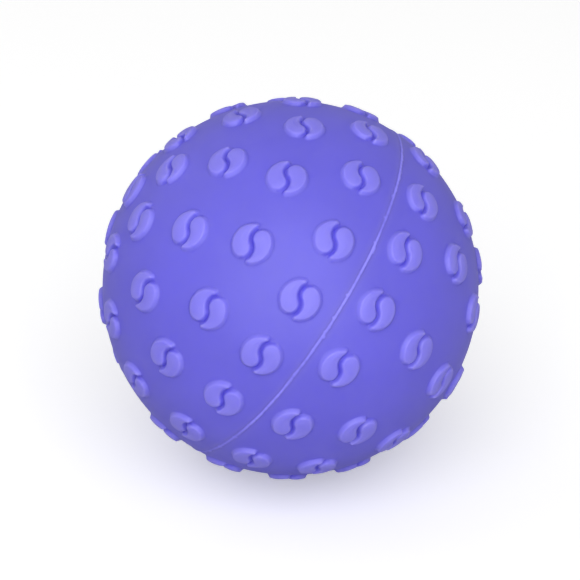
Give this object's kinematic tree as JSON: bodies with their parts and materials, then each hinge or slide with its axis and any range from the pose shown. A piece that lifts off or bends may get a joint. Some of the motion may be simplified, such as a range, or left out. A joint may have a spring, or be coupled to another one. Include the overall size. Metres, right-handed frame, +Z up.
{
  "type": "massage ball",
  "caption": "Hollow soft ball of two joined halves, covered in low yin-yang nubs, with a push-in air stopper.",
  "frame": {"origin": "centre of the ball", "axes": "+Z up as the ball rests, +X to the right and -Y to the front; the poles' axis leans 55 degrees from +Z towards -X, so the stopper faces down to +X"},
  "size_m": [0.0768, 0.0764, 0.0765],
  "materials": {
    "ball_pvc": "satin, slightly translucent soft PVC, periwinkle blue",
    "weld_pvc": "satin, paler bead of the same PVC",
    "valve_pvc": "satin soft PVC",
    "stopper_pvc": "satin, firmer PVC"
  },
  "bodies": {
    "ball": {"upper_half_shell": "ball_pvc", "lower_half_shell": "ball_pvc", "seam_weld": "weld_pvc", "valve_socket": "valve_pvc"},
    "stopper": {"stopper": "stopper_pvc"}
  },
  "joints": [
    {"name": "stopper_pull", "type": "slide", "parent": "ball", "child": "stopper", "axis": [0.8192, 0, -0.5736], "range_m": [0, 0.012]}
  ]
}
